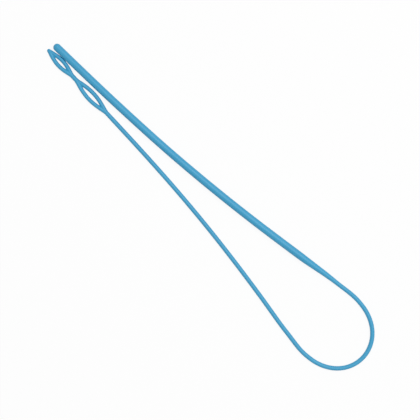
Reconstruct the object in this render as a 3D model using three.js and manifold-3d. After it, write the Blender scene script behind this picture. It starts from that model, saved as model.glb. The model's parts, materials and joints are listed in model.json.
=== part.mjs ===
// Ribbon threader: a long blunt needle moulded in one piece from soft blue plastic.
// A thick rod narrows through a taper into a thin stem, and the stem ends in a head with
// two almond eyes and a blunt nose. It lies on a table bent double, with the front eye
// resting beside the rod's free end, as it comes out of its packet.
//
// Millimetres, +Z up. The table is z = 0, and the origin is under the middle of the tool.
// +X runs from the two free ends towards the bend, and the rod is on the +Y side.
//
// The plastic flexes all along, so the moulding is divided where it flexes. Each length
// ends in a ball that sits in a socket in the next, with the plastic's own outline, and
// each length is a child of the one before it: a turn of its group flexes all that follows.

import * as THREE from 'three';
import { mergeVertices } from 'three/addons/utils/BufferGeometryUtils.js';
import Module from 'manifold-3d';

const wasm = await Module();
wasm.setup();

// Thicknesses
const ROD_DIAMETER = 2.25;
const STEM_DIAMETER = 1.3;
const LIMB_DIAMETER = 1.22;

// Lengths along the tool. The rod's is measured from the middle of its round end, and an
// eye's is from where its limbs part to where they meet again.
const ROD_LENGTH = 96.2;
const TAPER_LENGTH = 13;
const BEND_LENGTH = 54.9;
const STEM_LENGTH = 80.7;
const ROOT_LENGTH = 4.5;
const REAR_EYE_LENGTH = 13;
const NECK_LENGTH = 2;
const FRONT_EYE_LENGTH = 9.8;

// The nose is a short stub that narrows to a round end.
const NOSE_LENGTH = 0.8;
const NOSE_DIAMETER = 1.1;

// The eyes across the outside of their two limbs, and the web that closes each end of a hole
const REAR_EYE_WIDTH = 3.4;
const FRONT_EYE_WIDTH = 3.1;
const WEB_LENGTH = 2.4;
const WEB_TIP_DIAMETER = 0.45;

// How the tool lies. The two arms bow apart by these turns in degrees, and the bend
// closes until the front eye is this far from the rod.
const ROD_BOW = 7.7;
const STEM_BOW = 6.9;
const REST_GAP = 0.1;

// The bend's turn lies between these, in degrees, and is found to this many radians.
const LEAST_BEND = 150;
const MOST_BEND = 240;
const TURN_TOLERANCE = 1e-7;

// How it is divided, and the air between a ball and its socket
const ROD_SECTIONS = 4;
const BEND_LINKS = 16;
const STEM_LINKS = 6;
const SOCKET_CLEARANCE = 0.1;

// Fineness of the facets. The number of sides is even, so that a facet faces down.
const SIDES = 12;
const BALL_STEPS = 3;
const LIMB_STEPS = 14;
const TAPER_STEPS = 4;
const STEP_LENGTH = 7;
const STEP_TURN = 4;
const WALK_STRIDE = 0.25;

// The plastic
const SKY_BLUE = 0x3ea6d6;
const SATIN_ROUGHNESS = 0.5;

const ROD_RADIUS = ROD_DIAMETER / 2;
const STEM_RADIUS = STEM_DIAMETER / 2;
const LIMB_RADIUS = LIMB_DIAMETER / 2;
const NOSE_RADIUS = NOSE_DIAMETER / 2;
const WEB_TIP_RADIUS = WEB_TIP_DIAMETER / 2;
const THICK_LENGTH = ROD_LENGTH + TAPER_LENGTH;
const STEM_START = THICK_LENGTH + BEND_LENGTH;
const HEAD_START = STEM_START + STEM_LENGTH;
const SLENDER_LENGTH = STEM_LENGTH + ROOT_LENGTH;
const HALF_NECK = NECK_LENGTH / 2;
const REAR_HEAD_LENGTH = ROOT_LENGTH + REAR_EYE_LENGTH + HALF_NECK;
const QUARTER_TURN = Math.PI / 2;
const { clamp, degToRad, lerp, radToDeg } = THREE.MathUtils;

// The tool's line seen from above. Each stretch turns by half a wave, so that its
// curvature is greatest in its middle and fades to nothing where the next one starts.
function halfWave(distance, length) {
  const share = clamp(distance / length, 0, 1);
  return (1 - Math.cos(Math.PI * share)) / 2;
}

function headingAt(distance, bendTurn) {
  const rodTurn = degToRad(ROD_BOW) * halfWave(distance, THICK_LENGTH);
  const closing = bendTurn * halfWave(distance - THICK_LENGTH, BEND_LENGTH);
  const stemTurn = degToRad(STEM_BOW) * halfWave(distance - STEM_START, SLENDER_LENGTH);
  return rodTurn - closing + stemTurn;
}

// Where the line is at one distance, seen from its place and heading at another
function walk(from, to, bendTurn) {
  const strides = Math.max(1, Math.ceil((to - from) / WALK_STRIDE));
  const stride = (to - from) / strides;
  const start = headingAt(from, bendTurn);
  let x = 0;
  let y = 0;
  for (let k = 0; k < strides; k++) {
    const heading = headingAt(from + (k + 0.5) * stride, bendTurn) - start;
    x += stride * Math.cos(heading);
    y += stride * Math.sin(heading);
  }
  return { x, y, heading: headingAt(to, bendTurn) - start };
}

// The turn of the bend that brings the front eye's limb to rest beside the rod
function restingTurn() {
  const reach = ROD_RADIUS + LIMB_RADIUS + REST_GAP;
  const rise = ROD_RADIUS - STEM_RADIUS;
  const sideways = Math.sqrt(reach ** 2 - rise ** 2) + (FRONT_EYE_WIDTH - LIMB_DIAMETER) / 2;
  const eyeMiddle = HEAD_START + REAR_HEAD_LENGTH + HALF_NECK + FRONT_EYE_LENGTH / 2;
  let open = degToRad(LEAST_BEND);
  let closed = degToRad(MOST_BEND);
  while (closed - open > TURN_TOLERANCE) {
    const turn = (open + closed) / 2;
    const eye = walk(0, eyeMiddle, turn);
    const rod = walk(0, Math.max(0, eye.x), turn);
    if (rod.y - eye.y > sideways) {
      open = turn;
    } else {
      closed = turn;
    }
  }
  return open;
}

const BEND_TURN = restingTurn();

function radiusAt(distance) {
  const share = clamp((distance - ROD_LENGTH) / TAPER_LENGTH, 0, 1);
  return lerp(ROD_RADIUS, STEM_RADIUS, share);
}

// The corners of an upright section stand out, so that its flats are at the true radius.
function section(x, y, z, heading, radius) {
  const cornerRadius = radius / Math.cos(Math.PI / SIDES);
  return Array.from({ length: SIDES }, (_, k) => {
    const angle = ((k + 0.5) / SIDES) * 2 * Math.PI;
    const across = cornerRadius * Math.cos(angle);
    const up = cornerRadius * Math.sin(angle);
    return [x - across * Math.sin(heading), y + across * Math.cos(heading), z + up];
  });
}

// Sections square to a straight line, from their distances along it and their radii
function straight(rings) {
  return rings.map(([x, radius]) => section(x, 0, 0, 0, radius));
}

// A closed skin over a row of sections, with a point in the middle of each end
function skin(startPoint, sections, endPoint) {
  const points = [startPoint, ...sections.flat(), endPoint];
  const corner = (row, k) => 1 + row * SIDES + (k % SIDES);
  const lastRow = sections.length - 1;
  const faces = [];
  for (let k = 0; k < SIDES; k++) {
    faces.push(0, corner(0, k + 1), corner(0, k));
    for (let row = 0; row < lastRow; row++) {
      faces.push(corner(row, k), corner(row, k + 1), corner(row + 1, k + 1));
      faces.push(corner(row, k), corner(row + 1, k + 1), corner(row + 1, k));
    }
    faces.push(points.length - 1, corner(lastRow, k), corner(lastRow, k + 1));
  }
  const geometry = new THREE.BufferGeometry();
  geometry.setAttribute('position', new THREE.Float32BufferAttribute(points.flat(), 3));
  geometry.setIndex(faces);
  geometry.computeVertexNormals();
  return geometry;
}

// A ball's rings from its widest to its tip, as distance ahead of its middle and radius
function ballRings(radius) {
  return Array.from({ length: BALL_STEPS - 1 }, (_, k) => {
    const angle = (QUARTER_TURN * (k + 1)) / BALL_STEPS;
    return [radius * Math.sin(angle), radius * Math.cos(angle)];
  });
}

// A socket for a ball of the tube's own radius. It meets the outside at a sharp rim.
function socket(radius) {
  const hollow = radius + SOCKET_CLEARANCE;
  const rimAngle = Math.acos(radius / hollow);
  const rings = Array.from({ length: BALL_STEPS - 1 }, (_, k) => {
    const angle = QUARTER_TURN - ((QUARTER_TURN - rimAngle) * (k + 1)) / BALL_STEPS;
    return [hollow * Math.sin(angle), hollow * Math.cos(angle)];
  });
  return { depth: hollow, rim: hollow * Math.sin(rimAngle), rings };
}

// The rod's free end is half a ball.
function bluntEnd(radius) {
  return ballRings(radius)
    .map(([x, ringRadius]) => [-x, ringRadius])
    .reverse();
}

// How many straight steps keep to the line between two distances
function stepsBetween(from, to) {
  const turn = radToDeg(Math.abs(headingAt(to, BEND_TURN) - headingAt(from, BEND_TURN)));
  const leastSteps = radiusAt(from) === radiusAt(to) ? 1 : TAPER_STEPS;
  return Math.max(leastSteps, Math.ceil((to - from) / STEP_LENGTH), Math.ceil(turn / STEP_TURN));
}

// A length of the tool from the middle of its socket to the middle of its ball. Its
// underside stays on the table, so its middle sinks as it narrows.
function link(from, to, { hasSocket = true } = {}) {
  const radius = radiusAt(from);
  const endRadius = radiusAt(to);
  const seat = socket(radius);
  const start = hasSocket ? seat.rim : 0;
  const startPoint = hasSocket ? [seat.depth, 0, 0] : [-radius, 0, 0];
  const sections = straight(hasSocket ? seat.rings : bluntEnd(radius));
  const steps = stepsBetween(from, to);
  for (let k = 0; k <= steps; k++) {
    const distance = from + lerp(start, to - from, k / steps);
    const { x, y, heading } = walk(from, distance, BEND_TURN);
    const radiusHere = radiusAt(distance);
    sections.push(section(x, y, radiusHere - radius, heading, radiusHere));
  }
  const end = walk(from, to, BEND_TURN);
  const ahead = (distance) => [
    end.x + distance * Math.cos(end.heading),
    end.y + distance * Math.sin(end.heading),
    endRadius - radius,
  ];
  ballRings(endRadius).forEach(([distance, ringRadius]) => {
    sections.push(section(...ahead(distance), end.heading, ringRadius));
  });
  return skin(startPoint, sections, ahead(endRadius));
}

// A straight round bar from rings of distance and radius, closed by a point at each end
function bar(startX, rings, endX) {
  return skin([startX, 0, 0], straight(rings), [endX, 0, 0]);
}

// One limb of an eye bows out to one side in half a wave.
function limb(start, length, width, side) {
  const spread = (side * (width - LIMB_DIAMETER)) / 2;
  const sections = [];
  for (let k = 0; k <= LIMB_STEPS; k++) {
    const share = k / LIMB_STEPS;
    const angle = Math.PI * share;
    const slope = ((spread * Math.PI) / length) * Math.cos(angle);
    const x = start + length * share;
    const y = spread * Math.sin(angle);
    sections.push(section(x, y, 0, Math.atan(slope), LIMB_RADIUS));
  }
  return skin([start, 0, 0], sections, [start + length, 0, 0]);
}

function solid(geometry) {
  const bare = geometry.clone();
  bare.deleteAttribute('normal');
  const merged = mergeVertices(bare);
  const mesh = new wasm.Mesh({
    numProp: 3,
    vertProperties: merged.attributes.position.array,
    triVerts: new Uint32Array(merged.index.array),
  });
  return new wasm.Manifold(mesh);
}

function joined(...geometries) {
  const mesh = geometries
    .map(solid)
    .reduce((whole, piece) => whole.add(piece))
    .getMesh();
  const geometry = new THREE.BufferGeometry();
  geometry.setAttribute('position', new THREE.BufferAttribute(mesh.vertProperties, 3));
  geometry.setIndex(new THREE.BufferAttribute(mesh.triVerts, 1));
  geometry.computeVertexNormals();
  return geometry;
}

// The round bar behind an eye, with a socket, thinning to a web between the limbs
function root(length) {
  const seat = socket(STEM_RADIUS);
  const webTip = length + WEB_LENGTH;
  const rings = [
    ...seat.rings,
    [seat.rim, STEM_RADIUS],
    [length, STEM_RADIUS],
    [webTip, WEB_TIP_RADIUS],
  ];
  return bar(seat.depth, rings, webTip + WEB_TIP_RADIUS);
}

// The round bar ahead of an eye: a web where the limbs meet, then a ball of another size
function tipBar(eyeEnd, radius, ballMiddle, ballRadius) {
  const webTip = eyeEnd - WEB_LENGTH;
  const ball = ballRings(ballRadius).map(([x, ringRadius]) => [ballMiddle + x, ringRadius]);
  const rings = [
    [webTip, WEB_TIP_RADIUS],
    [eyeEnd, radius],
    [ballMiddle, ballRadius],
    ...ball,
  ];
  return bar(webTip - WEB_TIP_RADIUS, rings, ballMiddle + ballRadius);
}

function rearEye() {
  const eyeEnd = ROOT_LENGTH + REAR_EYE_LENGTH;
  return joined(
    root(ROOT_LENGTH),
    limb(ROOT_LENGTH, REAR_EYE_LENGTH, REAR_EYE_WIDTH, 1),
    limb(ROOT_LENGTH, REAR_EYE_LENGTH, REAR_EYE_WIDTH, -1),
    tipBar(eyeEnd, STEM_RADIUS, REAR_HEAD_LENGTH, STEM_RADIUS),
  );
}

function frontEye() {
  const eyeEnd = HALF_NECK + FRONT_EYE_LENGTH;
  return joined(
    root(HALF_NECK),
    limb(HALF_NECK, FRONT_EYE_LENGTH, FRONT_EYE_WIDTH, 1),
    limb(HALF_NECK, FRONT_EYE_LENGTH, FRONT_EYE_WIDTH, -1),
    tipBar(eyeEnd, LIMB_RADIUS, eyeEnd + NOSE_LENGTH - NOSE_RADIUS, NOSE_RADIUS),
  );
}

const threader = new THREE.Group();
let lastLength = threader;

// Adds the next length of the tool at a place and heading seen from the length before it
function attach(name, geometry, { x, y, heading }, rise) {
  const material = new THREE.MeshStandardMaterial({ color: SKY_BLUE, roughness: SATIN_ROUGHNESS });
  const mesh = new THREE.Mesh(geometry, material);
  mesh.name = name;
  const flex = new THREE.Group();
  flex.position.set(x, y, rise);
  flex.rotation.z = heading;
  flex.add(mesh);
  lastLength.add(flex);
  lastLength = flex;
}

// The distances where the tool is divided, with the name of the length that starts there
const divisions = [];
for (let k = 0; k < ROD_SECTIONS; k++) {
  divisions.push({ name: `rod_${k + 1}`, from: (ROD_LENGTH * k) / ROD_SECTIONS });
}
divisions.push({ name: 'taper', from: ROD_LENGTH });
// The bend's links are shortest where it is tightest, so that each turns by the same angle.
for (let k = 0; k < BEND_LINKS; k++) {
  const share = Math.acos(1 - (2 * k) / BEND_LINKS) / Math.PI;
  const number = String(k + 1).padStart(2, '0');
  divisions.push({ name: `bend_${number}`, from: THICK_LENGTH + BEND_LENGTH * share });
}
for (let k = 0; k < STEM_LINKS; k++) {
  divisions.push({ name: `stem_${k + 1}`, from: STEM_START + (STEM_LENGTH * k) / STEM_LINKS });
}

divisions.forEach(({ name, from }, k) => {
  const to = divisions[k + 1]?.from ?? HEAD_START;
  const previous = divisions[k - 1]?.from ?? 0;
  const rise = k === 0 ? ROD_RADIUS : radiusAt(from) - radiusAt(previous);
  attach(name, link(from, to, { hasSocket: k > 0 }), walk(previous, from, BEND_TURN), rise);
});
attach('rear_eye', rearEye(), walk(divisions.at(-1).from, HEAD_START, BEND_TURN), 0);
// The head is straight, whatever is left of the stem's bow.
attach('front_eye', frontEye(), { x: REAR_HEAD_LENGTH, y: 0, heading: 0 }, 0);

// The origin is under the middle of the tool as it lies.
const middle = new THREE.Box3().setFromObject(threader, true).getCenter(new THREE.Vector3());
threader.position.set(-middle.x, -middle.y, 0);

export default threader;
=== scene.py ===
"""Ribbon threader: a long blunt needle moulded in one piece from soft blue plastic.

A thick rod narrows through a taper into a thin stem. The stem turns back beside the rod
and ends in a head with two almond eyes and a blunt nose. The plastic is one smooth skin.
It is made here in short tubes that meet halfway between the places where it flexes, and
each tube spans one of those places.

Pieces are modelled in millimetres, where Blender's voxels can be small enough, and are
made metres at the end.
"""

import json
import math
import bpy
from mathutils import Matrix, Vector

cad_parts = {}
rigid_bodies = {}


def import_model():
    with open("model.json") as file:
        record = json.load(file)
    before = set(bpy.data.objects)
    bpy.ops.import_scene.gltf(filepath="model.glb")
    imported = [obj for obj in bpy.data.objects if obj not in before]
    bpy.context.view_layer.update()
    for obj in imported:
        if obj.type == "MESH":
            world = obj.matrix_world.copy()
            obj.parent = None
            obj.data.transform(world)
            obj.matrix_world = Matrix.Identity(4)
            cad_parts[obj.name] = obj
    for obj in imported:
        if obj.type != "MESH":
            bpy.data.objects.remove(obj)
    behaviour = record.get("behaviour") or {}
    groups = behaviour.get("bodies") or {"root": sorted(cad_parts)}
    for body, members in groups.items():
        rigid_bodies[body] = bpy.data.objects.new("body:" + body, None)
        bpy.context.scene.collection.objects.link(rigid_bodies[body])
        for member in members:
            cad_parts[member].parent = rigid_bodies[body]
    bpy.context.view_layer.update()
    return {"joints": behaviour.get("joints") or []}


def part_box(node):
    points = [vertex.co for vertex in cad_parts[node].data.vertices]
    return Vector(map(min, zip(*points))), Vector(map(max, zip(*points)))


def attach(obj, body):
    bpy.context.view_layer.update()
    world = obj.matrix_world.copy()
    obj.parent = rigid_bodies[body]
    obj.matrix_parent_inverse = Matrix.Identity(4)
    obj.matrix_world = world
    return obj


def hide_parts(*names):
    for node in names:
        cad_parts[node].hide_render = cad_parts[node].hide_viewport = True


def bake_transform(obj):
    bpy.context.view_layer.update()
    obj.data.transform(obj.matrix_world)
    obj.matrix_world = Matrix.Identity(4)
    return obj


bl_info = {
    "name": "Ribbon Threader",
    "version": (1, 0, 0),
    "blender": (4, 5, 0),
    "location": "3D View > Sidebar > Threader",
    "description": "Makes a flexible plastic ribbon threader that lies bent double",
    "category": "Object",
}

from typing import NamedTuple

import bmesh
import bpy
from bpy.props import (
    FloatProperty,
    FloatVectorProperty,
    IntProperty,
    PointerProperty,
)
from bpy.types import Operator, Panel, PropertyGroup
from mathutils import Vector

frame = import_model()

PLASTIC_NAME = "Moulded satin polyethylene"
MM = 0.001

# How the skin is divided
CORNER_ROUNDING = 0.08  # share of a length over which the taper's corners are rounded
SAMPLES = 16  # sections that a stretch is measured with, before it is divided
TIP_STEPS = 14
NOSE_STEPS = 8
WEB_TIP_STEPS = 3
ROOT_STEPS = 8  # the root bends sharply when the head swings, so its sections are close
NECK_STEPS = 8
DOME_OPENING = 0.05  # angle at a dome's top that its last ring closes flat
RIDGE_REACH = 0.999  # share of the radius beyond which a corner is on the parting line
ROUNDING_FACTOR = 0.5
SPARE = 0.5  # millimetres of bar past a cut, which the cut takes off

# Sizes in the materials, in metres
PIGMENT_CLOUD = 0.009
FLOW_PATCH = 0.0015
MOULD_GRAIN = 0.00025
MOULD_GRAIN_DEPTH = 0.00002
PAPER_CLOUD = 0.02
PAPER_DEPTH = 0.00005

# The Mix node's sockets for colours, whose names it also gives to other sockets
MIX_A, MIX_B, MIX_RESULT = 6, 7, 2

# The studio, in metres
PAPER_SIDE = 6.0
WINDOW_PLACE = (0.04, 0.24, 0.58)
WINDOW_SIDE = 0.4
NEAREST_SEEN = 0.01


# The tool's middle line, read from the frame


def in_mm(point):
    return Vector(point) / MM


def rod_start():
    """The middle of the rod's round end."""
    low, high = (in_mm(corner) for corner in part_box("rod_1"))
    radius = (high.z - low.z) / 2
    return Vector((low.x + radius, low.y + radius, radius))


LENGTHS = [frame["joints"][0]["parent"]] + [joint["child"] for joint in frame["joints"]]
PIVOTS = [rod_start()] + [in_mm(joint["pos_m"]) for joint in frame["joints"]]
REAR_EYE = LENGTHS.index("rear_eye")
FRONT_EYE = LENGTHS.index("front_eye")


class Station(NamedTuple):
    """One round section of the plastic: its middle, which way it faces and its radius."""

    place: Vector
    heading: float
    radius: float


def heading_of(direction):
    return math.atan2(direction.y, direction.x)


HEAD_DIRECTION = (PIVOTS[FRONT_EYE] - PIVOTS[REAR_EYE]).normalized()
HEAD_HEADING = heading_of(HEAD_DIRECTION)


def tangent_at(index):
    """The line's direction at a pivot, from the two chords that meet there."""
    if index == 0:
        return Vector((1, 0, 0))
    if index >= REAR_EYE:
        return HEAD_DIRECTION.copy()
    before = (PIVOTS[index] - PIVOTS[index - 1]).to_2d()
    after = (PIVOTS[index + 1] - PIVOTS[index]).to_2d()
    direction = before.normalized() * after.length + after.normalized() * before.length
    return direction.to_3d().normalized()


TANGENTS = [tangent_at(index) for index in range(len(PIVOTS))]


def plain_radius(share):
    """Every length lies on the table, so the middle is as high as the plastic is thick."""
    index = min(max(int(share), 0), FRONT_EYE - 1)
    part = min(max(share - index, 0), 1)
    return PIVOTS[index].z * (1 - part) + PIVOTS[index + 1].z * part


def station(share):
    """The section at a share of the line, which counts one for each length.
    The corners at the two ends of the taper are rounded off."""
    index = min(int(share), FRONT_EYE - 1)
    part = share - index
    start, end = PIVOTS[index].to_2d(), PIVOTS[index + 1].to_2d()
    chord = (end - start).length
    leave, arrive = TANGENTS[index].to_2d() * chord, TANGENTS[index + 1].to_2d() * chord
    place = (
        start * (2 * part**3 - 3 * part**2 + 1)
        + leave * (part**3 - 2 * part**2 + part)
        + end * (3 * part**2 - 2 * part**3)
        + arrive * (part**3 - part**2)
    )
    slope = (
        start * (6 * part**2 - 6 * part)
        + leave * (3 * part**2 - 4 * part + 1)
        + end * (6 * part - 6 * part**2)
        + arrive * (3 * part**2 - 2 * part)
    )
    near = (share - CORNER_ROUNDING, share, share + CORNER_ROUNDING)
    radius = sum(plain_radius(at) for at in near) / len(near)
    return Station(Vector((*place, radius)), heading_of(slope), radius)


def turn_between(a, b):
    """The turn from heading a to heading b, from minus to plus half a turn."""
    return math.remainder(b - a, 2 * math.pi)


def stations_between(first, last, settings):
    """Sections close enough together that neither a long nor a tight stretch shows them."""
    samples = [
        station(first + (last - first) * k / SAMPLES) for k in range(SAMPLES + 1)
    ]
    pairs = list(zip(samples, samples[1:]))
    length = sum((b.place - a.place).length for a, b in pairs)
    turn = sum(abs(turn_between(a.heading, b.heading)) for a, b in pairs)
    longest = settings.ring_spacing / MM
    steps = max(
        1, math.ceil(length / longest), math.ceil(turn / settings.ring_turn)
    )
    return [station(first + (last - first) * k / steps) for k in range(steps + 1)]


# Modelling


def deselect_all():
    if bpy.context.object and bpy.context.object.mode != "OBJECT":
        bpy.ops.object.mode_set(mode="OBJECT")
    bpy.ops.object.select_all(action="DESELECT")


def select_only(piece):
    deselect_all()
    piece.select_set(True)
    bpy.context.view_layer.objects.active = piece


def raise_parting_line(circle, first, share):
    """The mould's two halves met at mid-height, and left a fine ridge on each side."""
    mesh = bmesh.from_edit_mesh(circle.data)
    left = Vector((-math.sin(first.heading), math.cos(first.heading), 0))
    reach = RIDGE_REACH * first.radius
    for vertex in mesh.verts:
        offset = circle.matrix_world @ vertex.co - first.place
        vertex.select_set(abs(offset.dot(left)) > reach)
    mesh.select_flush_mode()
    bmesh.update_edit_mesh(circle.data)
    size = 1 + share
    bpy.ops.transform.resize(value=(size, size, size), center_override=first.place)
    bpy.ops.mesh.select_all(action="SELECT")


def make_tube(name, stations, settings):
    """A filled circle, extruded from section to section: moved, turned and resized."""
    deselect_all()
    here = stations[0]
    bpy.ops.mesh.primitive_circle_add(
        vertices=settings.sides,
        radius=here.radius,
        fill_type="NGON",
        enter_editmode=True,
        location=here.place,
        rotation=(0, math.pi / 2, here.heading),
    )
    tube = bpy.context.object
    tube.name = name
    tube.data.name = name
    widest = max(there.radius for there in stations)
    raise_parting_line(tube, here, settings.parting_ridge / MM / widest)
    for there in stations[1:]:
        bpy.ops.mesh.extrude_region_move(
            TRANSFORM_OT_translate={"value": there.place - here.place}
        )
        bpy.ops.transform.rotate(
            value=-turn_between(here.heading, there.heading),
            orient_axis="Z",
            center_override=there.place,
        )
        size = there.radius / here.radius
        bpy.ops.transform.resize(
            value=(size, size, size), center_override=there.place
        )
        here = there
    bpy.ops.mesh.select_all(action="SELECT")
    bpy.ops.mesh.normals_make_consistent(inside=False)
    bpy.ops.object.mode_set(mode="OBJECT")
    return tube


def apply_place(piece):
    select_only(piece)
    bpy.ops.object.transform_apply(location=True, rotation=True, scale=True)


def dress(piece, settings, *nodes):
    """From millimetres to metres and shaded smooth, in the plastic.
    The piece takes the place of its nodes, if any are named."""
    apply_place(piece)
    piece.scale = (MM, MM, MM)
    apply_place(piece)
    bpy.ops.object.shade_smooth_by_angle(angle=settings.smooth_angle)
    piece.data.materials.clear()
    piece.data.materials.append(bpy.data.materials[PLASTIC_NAME])
    if nodes:
        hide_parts(*nodes)
    return piece


def bend_across(piece):
    """Bakes the piece's place into its mesh. It is not made to bend round the pivot."""
    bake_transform(piece)


def make_length(index, settings):
    """The skin from the middle of the length before a pivot to the middle of the next."""
    stations = stations_between(index - 0.5, index + 0.5, settings)
    tube = make_tube(f"{LENGTHS[index]}_skin", stations, settings)
    dress(tube, settings, LENGTHS[index])
    bend_across(tube)


def make_lengths(stem_of_name, settings):
    for index, name in enumerate(LENGTHS):
        if name.startswith(stem_of_name) and index > 0:
            make_length(index, settings)


# The head, in distances ahead of a pivot and to the left of the head's line


def head_station(index, ahead, radius, left=0.0, slope=0.0):
    side = Vector((-HEAD_DIRECTION.y, HEAD_DIRECTION.x, 0))
    level = Vector((*PIVOTS[index].to_2d(), PIVOTS[REAR_EYE].z))
    place = level + HEAD_DIRECTION * ahead + side * left
    return Station(place, HEAD_HEADING + math.atan(slope), radius)


def make_bar(name, index, rings, settings):
    """A straight round bar from rings of distance and radius."""
    stations = [head_station(index, ahead, radius) for ahead, radius in rings]
    return make_tube(name, stations, settings)


def make_limb(name, index, start, length, width, side, settings, ends_eased):
    """One limb of an eye bows out to one side in half a wave.
    An eased end leaves the bar in a gentle curve instead of at a corner."""
    radius = settings.limb_diameter / MM / 2
    spread = side * (width / 2 - radius)
    wave = math.pi / length
    ease = settings.limb_ease / MM
    offset = spread * math.sin(wave * ease)
    slope = spread * wave * math.cos(wave * ease)
    curve = 2 * offset / slope
    first, last = (curve - ease if eased else 0 for eased in ends_eased)
    stations = []
    for k in range(settings.limb_rings + 1):
        along = (length + first + last) * k / settings.limb_rings - first
        left = spread * math.sin(wave * along)
        rise = spread * wave * math.cos(wave * along)
        if first and along < ease:
            share = (along + first) / curve
            left, rise = offset * share**2, slope * share
        elif last and along > length - ease:
            share = (length + last - along) / curve
            left, rise = offset * share**2, -slope * share
        stations.append(head_station(index, start + along, radius, left, rise))
    return make_tube(name, stations, settings)


def make_limbs(index, start, length, width, settings, ends_eased):
    """An eye's two limbs, the left one first."""
    return [
        make_limb(name, index, start, length, width, side, settings, ends_eased)
        for name, side in (("limb_left", 1), ("limb_right", -1))
    ]


def dome(middle, radius, facing, steps):
    """Rings of a round end, from its widest ring to a last one too small to see."""
    angles = [(math.pi / 2 - DOME_OPENING) * k / steps for k in range(steps + 1)]
    return [
        (middle + facing * radius * math.sin(a), radius * math.cos(a)) for a in angles
    ]


def web_tip(at, facing, settings):
    return dome(at, settings.web_tip_diameter / MM / 2, facing, WEB_TIP_STEPS)


def melt_together(name, pieces, settings):
    """Bars and limbs become one skin, whose inner corners are rounded as a mould's are."""
    deselect_all()
    for piece in pieces:
        apply_place(piece)
    for piece in pieces:
        piece.select_set(True)
    bpy.context.view_layer.objects.active = pieces[0]
    bpy.ops.object.join()
    whole = bpy.context.object
    whole.name = name
    whole.data.name = name
    voxels = whole.modifiers.new("One skin", "REMESH")
    voxels.mode = "VOXEL"
    voxels.voxel_size = settings.eye_grain / MM
    fillet = whole.modifiers.new("Rounded corners", "SMOOTH")
    fillet.factor = ROUNDING_FACTOR
    fillet.iterations = settings.eye_rounding
    bpy.ops.object.modifier_apply(modifier=voxels.name)
    bpy.ops.object.modifier_apply(modifier=fillet.name)
    return whole


def cut_square(piece, index, ahead, clear_ahead):
    """Cuts the piece off square to the head's line and closes the cut."""
    select_only(piece)
    bpy.ops.object.mode_set(mode="EDIT")
    bpy.ops.mesh.select_all(action="SELECT")
    bpy.ops.mesh.bisect(
        plane_co=head_station(index, ahead, 1).place,
        plane_no=HEAD_DIRECTION,
        use_fill=True,
        clear_outer=clear_ahead,
        clear_inner=not clear_ahead,
    )
    bpy.ops.object.mode_set(mode="OBJECT")


# Materials


def linear(hex_colour):
    """An sRGB hex colour as the linear values that a shader takes."""
    channels = [int(hex_colour[k : k + 2], 16) / 255 for k in (0, 2, 4)]
    return [
        c / 12.92 if c <= 0.04045 else ((c + 0.055) / 1.055) ** 2.4 for c in channels
    ]


def add_node(tree, kind, settings=None, links=None):
    """Adds a node. Settings are its own properties or the values of its inputs."""
    node = tree.nodes.new(kind)
    for name, value in (settings or {}).items():
        if name in node.inputs:
            node.inputs[name].default_value = value
        else:
            setattr(node, name, value)
    for name, output in (links or {}).items():
        tree.links.new(node.inputs[name], output)
    return node


def empty_material(name):
    material = bpy.data.materials.get(name) or bpy.data.materials.new(name)
    material.use_nodes = True
    material.node_tree.nodes.clear()
    return material


def make_plastic(settings):
    """Low-density polyethylene, coloured through and injection moulded in a fine-blasted
    mould: an even soft colour, a broad dull highlight and no sharp reflection."""
    material = empty_material(PLASTIC_NAME)
    tree = material.node_tree
    place = add_node(tree, "ShaderNodeTexCoord").outputs["Object"]
    # Pigment isn't quite evenly mixed: clouds about 9 mm across, a few per cent darker.
    clouds = add_node(
        tree,
        "ShaderNodeTexNoise",
        {"Scale": 1 / PIGMENT_CLOUD, "Detail": 2.0, "Roughness": 0.5},
        {"Vector": place},
    )
    colour = add_node(
        tree,
        "ShaderNodeMix",
        {"data_type": "RGBA"},
        {"Factor": clouds.outputs["Fac"]},
    )
    colour.inputs[MIX_A].default_value = (*settings.plastic_light, 1)
    colour.inputs[MIX_B].default_value = (*settings.plastic_deep, 1)
    # The melt's flow leaves duller and shinier patches about 1.5 mm across.
    flow = add_node(
        tree,
        "ShaderNodeTexNoise",
        {"Scale": 1 / FLOW_PATCH, "Detail": 3.0, "Roughness": 0.6},
        {"Vector": place},
    )
    roughness = add_node(
        tree,
        "ShaderNodeMapRange",
        {"To Min": 0.40, "To Max": 0.54},
        {"Value": flow.outputs["Fac"]},
    )
    # The blasted mould's grain is about 0.05 mm. It is drawn at 0.25 mm, so that it shows.
    grain = add_node(
        tree,
        "ShaderNodeTexNoise",
        {"Scale": 1 / MOULD_GRAIN, "Detail": 2.0, "Roughness": 0.5},
        {"Vector": place},
    )
    bump = add_node(
        tree,
        "ShaderNodeBump",
        {"Strength": 0.25, "Distance": MOULD_GRAIN_DEPTH},
        {"Height": grain.outputs["Fac"]},
    )
    shader = add_node(
        tree,
        "ShaderNodeBsdfPrincipled",
        {"IOR": 1.51, "Metallic": 0.0},
        {
            "Base Color": colour.outputs[MIX_RESULT],
            "Roughness": roughness.outputs["Result"],
            "Normal": bump.outputs["Normal"],
        },
    )
    add_node(
        tree,
        "ShaderNodeOutputMaterial",
        links={"Surface": shader.outputs["BSDF"]},
    )


def seen_directly(tree):
    """1 for what the camera sees, also in or through gloss and glass, and 0 for light."""
    path = add_node(tree, "ShaderNodeLightPath")
    glossy = add_node(tree, "ShaderNodeMath", {"operation": "MAXIMUM"})
    tree.links.new(glossy.inputs[0], path.outputs["Is Camera Ray"])
    tree.links.new(glossy.inputs[1], path.outputs["Is Glossy Ray"])
    either = add_node(tree, "ShaderNodeMath", {"operation": "MAXIMUM"})
    tree.links.new(either.inputs[0], glossy.outputs[0])
    tree.links.new(either.inputs[1], path.outputs["Is Transmission Ray"])
    return either.outputs[0]


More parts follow.
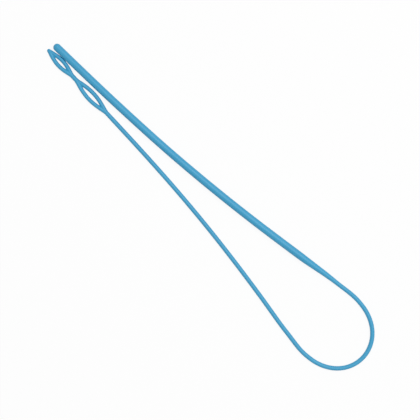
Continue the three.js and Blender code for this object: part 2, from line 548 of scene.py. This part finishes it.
def make_paper(studio):
    """Matt white background paper, rolled smooth. Most of its brightness is its own where
    it is looked at, so that it is white and the shadows on it are faint."""
    material = empty_material("Rolled white paper")
    tree = material.node_tree
    direct = seen_directly(tree)
    place = add_node(tree, "ShaderNodeTexCoord").outputs["Object"]
    # Fibres are under 0.1 mm and don't show. These clouds are the paper's own unevenness.
    fibre = add_node(
        tree,
        "ShaderNodeTexNoise",
        {"Scale": 1 / PAPER_CLOUD, "Detail": 4.0},
        {"Vector": place},
    )
    bump = add_node(
        tree,
        "ShaderNodeBump",
        {"Strength": 0.05, "Distance": PAPER_DEPTH},
        {"Height": fibre.outputs["Fac"]},
    )
    bounce = add_node(
        tree,
        "ShaderNodeBsdfDiffuse",
        {"Color": (*studio.paper, 1)},
        {"Normal": bump.outputs["Normal"]},
    )
    own = add_node(
        tree, "ShaderNodeEmission", {"Color": (1, 1, 1, 1), "Strength": 1.0}
    )
    share = add_node(tree, "ShaderNodeMath", {"operation": "MULTIPLY"})
    tree.links.new(share.inputs[0], direct)
    share.inputs[1].default_value = studio.paper_own_light
    mix = add_node(tree, "ShaderNodeMixShader", links={"Fac": share.outputs[0]})
    tree.links.new(mix.inputs[1], bounce.outputs["BSDF"])
    tree.links.new(mix.inputs[2], own.outputs["Emission"])
    add_node(
        tree,
        "ShaderNodeOutputMaterial",
        links={"Surface": mix.outputs["Shader"]},
    )
    return material


# Sizes, colours and the studio, as a user sees them


class ThreaderSettings(PropertyGroup):
    """What the threader's skin is made from."""

    sides: IntProperty(
        name="Sides",
        description="Corners round each section, a multiple of four",
        default=40,
        min=8,
        step=4,
    )
    ring_spacing: FloatProperty(
        name="Ring spacing",
        description="Longest distance between two sections",
        default=0.0015,
        unit="LENGTH",
        precision=5,
    )
    ring_turn: FloatProperty(
        name="Ring turn",
        description="Greatest turn between two sections",
        default=math.radians(1.4),
        subtype="ANGLE",
    )
    parting_ridge: FloatProperty(
        name="Parting ridge",
        description="How far the mould's parting line stands out on each side",
        default=0.00002,
        unit="LENGTH",
        precision=6,
    )
    smooth_angle: FloatProperty(
        name="Smooth angle",
        description="Corners sharper than this stay sharp",
        default=math.radians(50),
        subtype="ANGLE",
    )
    limb_diameter: FloatProperty(
        name="Limb diameter",
        description="Thickness of the limbs round the eyes",
        default=0.00122,
        unit="LENGTH",
        precision=5,
    )
    rear_eye_width: FloatProperty(
        name="Rear eye width",
        description="Across the outside of the rear eye's limbs",
        default=0.0034,
        unit="LENGTH",
        precision=5,
    )
    front_eye_width: FloatProperty(
        name="Front eye width",
        description="Across the outside of the front eye's limbs",
        default=0.0031,
        unit="LENGTH",
        precision=5,
    )
    root_length: FloatProperty(
        name="Root length",
        description="Round bar ahead of the head's pivot, up to where the limbs part",
        default=0.0045,
        unit="LENGTH",
        precision=5,
    )
    rear_eye_length: FloatProperty(
        name="Rear eye length",
        description="From where the rear eye's limbs part to where they meet",
        default=0.013,
        unit="LENGTH",
        precision=5,
    )
    neck_length: FloatProperty(
        name="Neck length",
        description="Round bar between the two eyes",
        default=0.002,
        unit="LENGTH",
        precision=5,
    )
    front_eye_length: FloatProperty(
        name="Front eye length",
        description="From where the front eye's limbs part to where they meet",
        default=0.0098,
        unit="LENGTH",
        precision=5,
    )
    nose_length: FloatProperty(
        name="Nose length",
        description="From where the front eye's limbs meet to the tip",
        default=0.0008,
        unit="LENGTH",
        precision=5,
    )
    nose_diameter: FloatProperty(
        name="Nose diameter",
        description="Thickness of the nose's round end",
        default=0.0011,
        unit="LENGTH",
        precision=5,
    )
    web_length: FloatProperty(
        name="Web length",
        description="Length of the plastic that closes each end of a hole",
        default=0.0024,
        unit="LENGTH",
        precision=5,
    )
    web_tip_diameter: FloatProperty(
        name="Web tip diameter",
        description="Thickness of a web where it meets the hole",
        default=0.00045,
        unit="LENGTH",
        precision=5,
    )
    limb_ease: FloatProperty(
        name="Limb ease",
        description="How far past its root a limb still curves away from the bar",
        default=0.001,
        unit="LENGTH",
        precision=5,
    )
    limb_rings: IntProperty(
        name="Limb rings",
        description="Sections along each limb",
        default=36,
        min=8,
    )
    eye_grain: FloatProperty(
        name="Eye grain",
        description="Side of the voxels that make an eye's parts one skin",
        default=0.00006,
        unit="LENGTH",
        precision=6,
    )
    eye_rounding: IntProperty(
        name="Eye rounding",
        description="Smoothing passes that round the corners between an eye's limbs",
        default=10,
        min=1,
    )
    seam: FloatProperty(
        name="Seam",
        description="From the head's pivot to where the stem's skin meets the rear eye's",
        default=0.002,
        unit="LENGTH",
        precision=5,
    )
    neck_seam: FloatProperty(
        name="Neck seam",
        description="From the neck's pivot to where its skin meets the skin of each eye",
        default=0.0006,
        unit="LENGTH",
        precision=5,
    )
    plastic_light: FloatVectorProperty(
        name="Plastic",
        description="Colour of the plastic",
        default=linear("3DA5CF"),
        subtype="COLOR",
    )
    plastic_deep: FloatVectorProperty(
        name="Plastic, deep",
        description="Colour of the plastic where it has a little more pigment",
        default=linear("3599C4"),
        subtype="COLOR",
    )


class StudioSettings(PropertyGroup):
    """The paper, the light and the camera."""

    view_turn: FloatProperty(
        name="View turn",
        description="How far the camera is turned against the tool, looking straight down",
        default=math.radians(43.94),
        subtype="ANGLE",
    )
    view_middle: FloatVectorProperty(
        name="View middle",
        description="Middle of the picture, seen from the middle of the rod's round end",
        default=(0.06646, -0.00327, 0.0),
        subtype="TRANSLATION",
        unit="LENGTH",
        precision=5,
    )
    view_width: FloatProperty(
        name="View width",
        description="Width of the picture at the tool",
        default=0.12523,
        unit="LENGTH",
        precision=5,
    )
    lens: FloatProperty(
        name="Lens",
        description="Focal length in millimetres",
        default=100.0,
    )
    paper: FloatVectorProperty(
        name="Paper",
        description="Colour of the paper on the table",
        default=linear("FAFAFA"),
        subtype="COLOR",
    )
    paper_own_light: FloatProperty(
        name="Paper's own light",
        description="Share of the paper's brightness that no shadow takes away",
        default=0.9,
        subtype="FACTOR",
        min=0,
        max=1,
    )
    sky_strength: FloatProperty(
        name="Sky strength",
        description="Even light from all round",
        default=0.47,
    )
    window_power: FloatProperty(
        name="Window power",
        description="Power of the large soft lamp on the rod's side",
        default=2.15,
        unit="POWER",
    )


def sizes(context):
    return context.scene.threader


# One operator for each piece or group of like pieces


class THREADER_OT_plastic(Operator):
    """Makes the blue plastic that every piece is moulded from"""

    bl_idname = "threader.plastic"
    bl_label = "Plastic"

    def execute(self, context):
        make_plastic(sizes(context))
        return {"FINISHED"}


class THREADER_OT_rod(Operator):
    """Makes the thick rod, from its round free end to the end of the taper"""

    bl_idname = "threader.rod"
    bl_label = "Rod and taper"

    def execute(self, context):
        settings = sizes(context)
        start = station(0)
        rings = dome(start.place.x, start.radius, -1, TIP_STEPS)
        round_end = [
            Station(Vector((x, start.place.y, start.place.z)), 0, radius)
            for x, radius in reversed(rings)
        ]
        along = stations_between(0, 0.5, settings)[1:]
        tip = make_tube("rod_tip_skin", round_end + along, settings)
        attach(dress(tip, settings, LENGTHS[0]), LENGTHS[0])
        make_lengths("rod", settings)
        make_lengths("taper", settings)
        return {"FINISHED"}


class THREADER_OT_bend(Operator):
    """Makes the tight bend that turns the stem back beside the rod"""

    bl_idname = "threader.bend"
    bl_label = "Bend"

    def execute(self, context):
        make_lengths("bend", sizes(context))
        return {"FINISHED"}


class THREADER_OT_stem(Operator):
    """Makes the slender stem back to the head, and the first of the rear eye's root"""

    bl_idname = "threader.stem"
    bl_label = "Stem"

    def execute(self, context):
        settings = sizes(context)
        make_lengths("stem", settings)
        seam = settings.seam / MM
        before = REAR_EYE - seam / (PIVOTS[REAR_EYE] - PIVOTS[REAR_EYE - 1]).length
        after = REAR_EYE + seam / (PIVOTS[FRONT_EYE] - PIVOTS[REAR_EYE]).length
        stations = stations_between(REAR_EYE - 0.5, before, settings)
        for first, last in ((before, REAR_EYE), (REAR_EYE, after)):
            stations += [
                station(first + (last - first) * k / ROOT_STEPS)
                for k in range(1, ROOT_STEPS + 1)
            ]
        root = make_tube("head_root_skin", stations, settings)
        dress(root, settings)
        bend_across(root)
        return {"FINISHED"}


class THREADER_OT_rear_eye(Operator):
    """Makes the rear eye: root, two limbs and the start of the neck, as one skin"""

    bl_idname = "threader.rear_eye"
    bl_label = "Rear eye"

    def execute(self, context):
        settings = sizes(context)
        radius = PIVOTS[REAR_EYE].z
        start = settings.root_length / MM
        length = settings.rear_eye_length / MM
        width = settings.rear_eye_width / MM
        web = settings.web_length / MM
        seam = settings.seam / MM
        end = start + length
        neck_cut = end + settings.neck_length / MM / 2 - settings.neck_seam / MM
        root_rings = [
            (seam - SPARE, radius),
            (start, radius),
            *web_tip(start + web, 1, settings),
        ]
        neck_rings = [
            *reversed(web_tip(end - web, -1, settings)),
            (end, radius),
            (neck_cut + SPARE, radius),
        ]
        pieces = [
            make_bar("root", REAR_EYE, root_rings, settings),
            *make_limbs(REAR_EYE, start, length, width, settings, (True, True)),
            make_bar("neck", REAR_EYE, neck_rings, settings),
        ]
        eye = melt_together("rear_eye_skin", pieces, settings)
        cut_square(eye, REAR_EYE, seam, clear_ahead=False)
        cut_square(eye, REAR_EYE, neck_cut, clear_ahead=True)
        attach(dress(eye, settings, "rear_eye"), "rear_eye")
        return {"FINISHED"}


class THREADER_OT_neck(Operator):
    """Makes the short neck between the two eyes"""

    bl_idname = "threader.neck"
    bl_label = "Neck"

    def execute(self, context):
        settings = sizes(context)
        radius = PIVOTS[REAR_EYE].z
        reach = settings.neck_seam / MM
        rings = [
            (reach * (2 * k / NECK_STEPS - 1), radius) for k in range(NECK_STEPS + 1)
        ]
        neck = make_bar("neck_skin", FRONT_EYE, rings, settings)
        dress(neck, settings)
        bend_across(neck)
        return {"FINISHED"}


class THREADER_OT_front_eye(Operator):
    """Makes the front eye: two limbs and the blunt nose, as one skin"""

    bl_idname = "threader.front_eye"
    bl_label = "Front eye and nose"

    def execute(self, context):
        settings = sizes(context)
        radius = PIVOTS[REAR_EYE].z
        start = settings.neck_length / MM / 2
        length = settings.front_eye_length / MM
        width = settings.front_eye_width / MM
        web = settings.web_length / MM
        limb_radius = settings.limb_diameter / MM / 2
        nose_radius = settings.nose_diameter / MM / 2
        end = start + length
        nose_middle = end + settings.nose_length / MM - nose_radius
        root_rings = [
            (0.0, radius),
            (start, radius),
            *web_tip(start + web, 1, settings),
        ]
        nose_rings = [
            *reversed(web_tip(end - web, -1, settings)),
            (end, limb_radius),
            *dome(nose_middle, nose_radius, 1, NOSE_STEPS),
        ]
        pieces = [
            make_bar("root", FRONT_EYE, root_rings, settings),
            *make_limbs(FRONT_EYE, start, length, width, settings, (True, False)),
            make_bar("nose", FRONT_EYE, nose_rings, settings),
        ]
        eye = melt_together("front_eye_skin", pieces, settings)
        cut_square(eye, FRONT_EYE, settings.neck_seam / MM, clear_ahead=False)
        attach(dress(eye, settings, "front_eye"), "front_eye")
        return {"FINISHED"}


class THREADER_OT_stage(Operator):
    """Lays white paper under the threader, and sets up the light and the camera"""

    bl_idname = "threader.stage"
    bl_label = "Stage"

    def execute(self, context):
        studio = context.scene.threader_studio
        deselect_all()
        bpy.ops.mesh.primitive_plane_add(size=PAPER_SIDE)
        paper = context.object
        paper.name = "paper"
        paper.data.materials.append(make_paper(studio))
        self.light(context, studio)
        self.aim_camera(context, studio)
        context.scene.view_settings.view_transform = "Standard"
        return {"FINISHED"}

    def light(self, context, studio):
        """Even light from all round, and a window-sized lamp low on the rod's side."""
        world = bpy.data.worlds.new("Pale studio")
        world.use_nodes = True
        tree = world.node_tree
        tree.nodes.clear()
        direct = seen_directly(tree)
        strength = add_node(
            tree,
            "ShaderNodeMapRange",
            {"To Min": studio.sky_strength, "To Max": 1.0},
            {"Value": direct},
        )
        sky = add_node(
            tree,
            "ShaderNodeBackground",
            {"Color": (1, 1, 1, 1)},
            {"Strength": strength.outputs["Result"]},
        )
        add_node(
            tree,
            "ShaderNodeOutputWorld",
            links={"Surface": sky.outputs["Background"]},
        )
        context.scene.world = world
        bpy.ops.object.light_add(type="AREA", location=WINDOW_PLACE)
        window = context.object
        window.name = "window"
        window.data.shape = "SQUARE"
        window.data.size = WINDOW_SIDE
        window.data.energy = studio.window_power
        window.rotation_euler = (-window.location).to_track_quat("-Z", "Y").to_euler()

    def aim_camera(self, context, studio):
        bpy.ops.object.camera_add(rotation=(0, 0, studio.view_turn))
        camera = context.object
        camera.name = "camera"
        camera.data.lens = studio.lens
        distance = studio.view_width * studio.lens / camera.data.sensor_width
        middle = rod_start() * MM + Vector(studio.view_middle)
        camera.location = middle + Vector((0, 0, distance))
        camera.data.clip_start = NEAREST_SEEN
        context.scene.camera = camera


class THREADER_PT_panel(Panel):
    """Lists the pieces and their sizes"""

    bl_idname = "THREADER_PT_panel"
    bl_label = "Ribbon Threader"
    bl_space_type = "VIEW_3D"
    bl_region_type = "UI"
    bl_category = "Threader"

    def draw(self, context):
        column = self.layout.column(align=True)
        for operator in OPERATORS:
            column.operator(operator.bl_idname)
        for group in (context.scene.threader, context.scene.threader_studio):
            box = self.layout.box()
            for name in group.__annotations__:
                box.prop(group, name)


OPERATORS = (
    THREADER_OT_plastic,
    THREADER_OT_rod,
    THREADER_OT_bend,
    THREADER_OT_stem,
    THREADER_OT_rear_eye,
    THREADER_OT_neck,
    THREADER_OT_front_eye,
    THREADER_OT_stage,
)
CLASSES = (ThreaderSettings, StudioSettings, *OPERATORS, THREADER_PT_panel)


def register():
    for cls in CLASSES:
        bpy.utils.register_class(cls)
    bpy.types.Scene.threader = PointerProperty(type=ThreaderSettings)
    bpy.types.Scene.threader_studio = PointerProperty(type=StudioSettings)


def unregister():
    del bpy.types.Scene.threader_studio
    del bpy.types.Scene.threader
    for cls in reversed(CLASSES):
        bpy.utils.unregister_class(cls)


def main():
    register()
    bpy.ops.threader.plastic()
    bpy.ops.threader.rod()
    bpy.ops.threader.bend()
    bpy.ops.threader.stem()
    bpy.ops.threader.rear_eye()
    bpy.ops.threader.neck()
    bpy.ops.threader.front_eye()
    bpy.ops.threader.stage()


if __name__ == "__main__":
    main()
